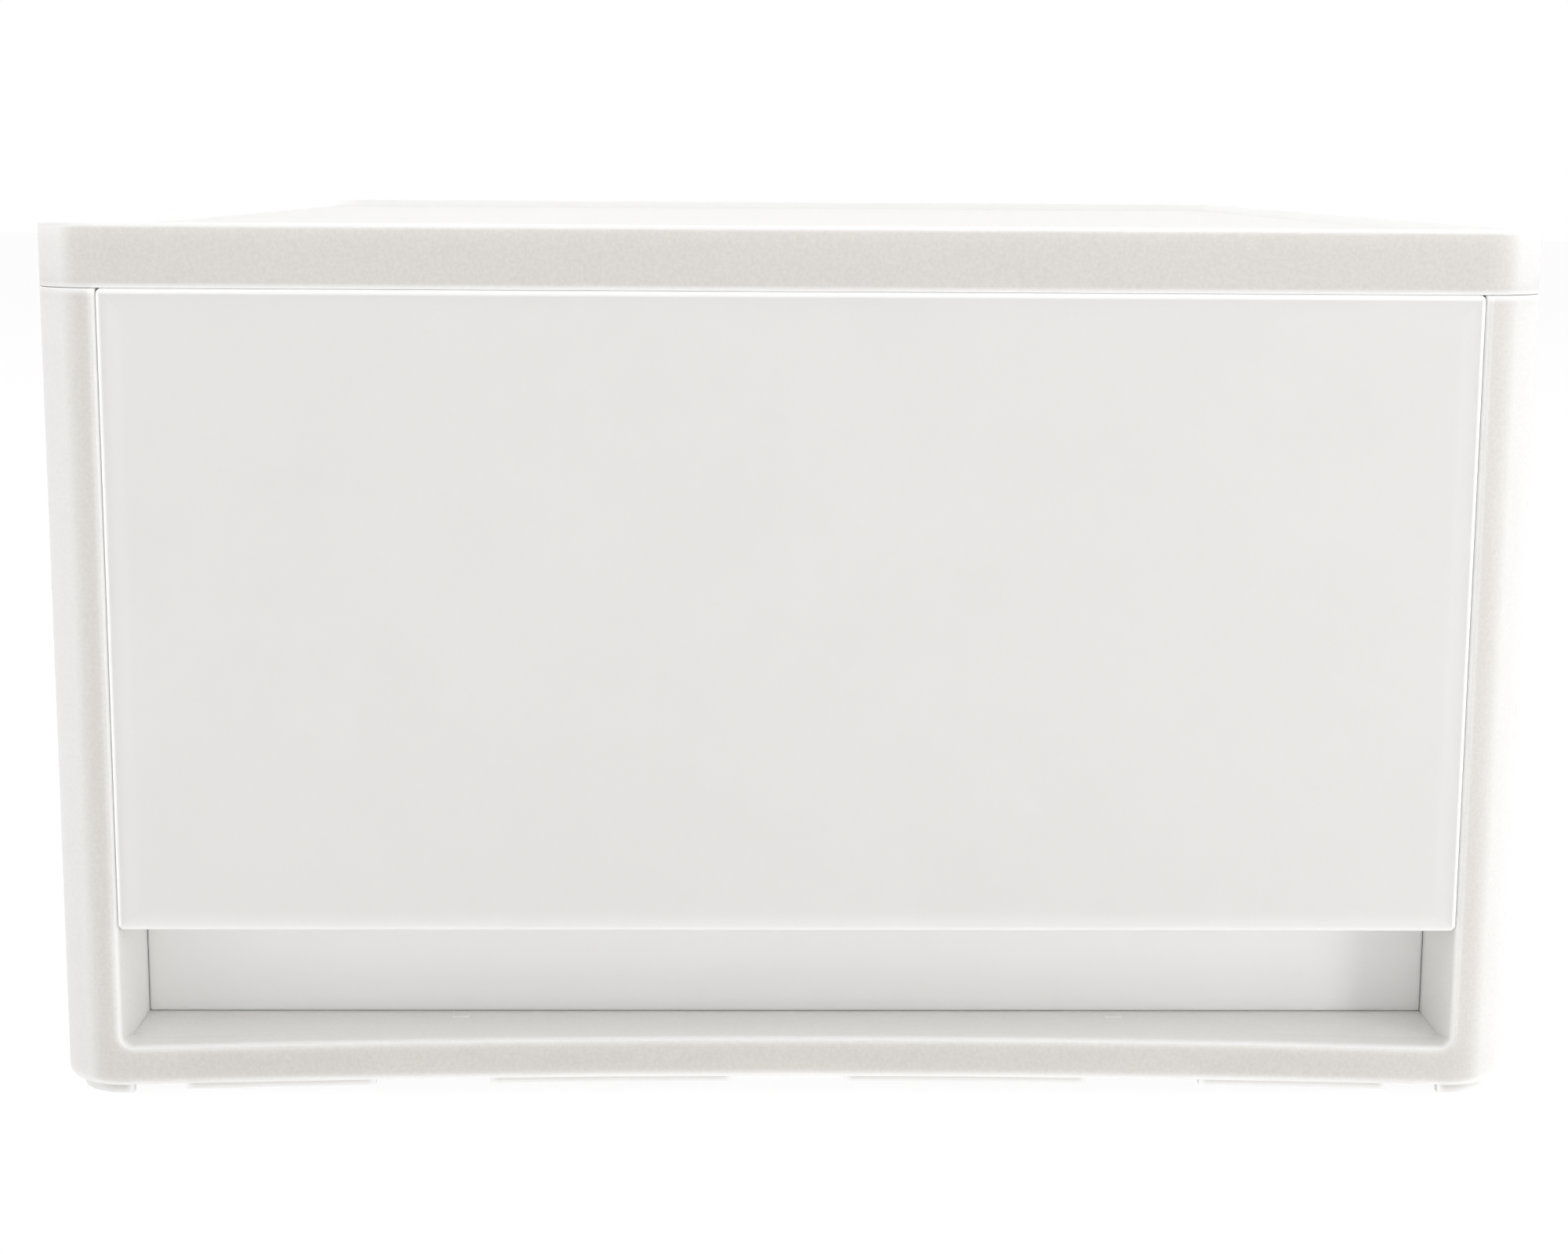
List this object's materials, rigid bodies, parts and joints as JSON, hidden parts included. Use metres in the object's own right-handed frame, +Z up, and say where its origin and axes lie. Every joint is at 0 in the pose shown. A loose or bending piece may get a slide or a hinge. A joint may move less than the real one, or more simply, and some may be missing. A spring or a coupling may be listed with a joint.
{
  "type": "stackable drawer box",
  "caption": "Stackable box with one pull-out drawer, a lapped cover with a locating lip, and a finger recess under the drawer front.",
  "frame": {"origin": "middle of the base, on the surface the feet stand on", "axes": "+Z up, the drawer opens towards -Y, +X to the right seen from the front"},
  "size_m": [0.26, 0.34, 0.154],
  "materials": {
    "case_plastic": "opaque white moulding with a fine speckled grain",
    "cover_plastic": "opaque white moulding, fine matt grain",
    "drawer_plastic": "frosted translucent light grey moulding, satin"
  },
  "bodies": {
    "case": {"case_tub": "case_plastic", "top_cover": "cover_plastic"},
    "drawer_body": {"drawer": "drawer_plastic"}
  },
  "joints": [
    {"name": "drawer_slide", "type": "slide", "parent": "case", "child": "drawer_body", "axis": [0, -1, 0], "range_m": [0, 0.25]}
  ]
}
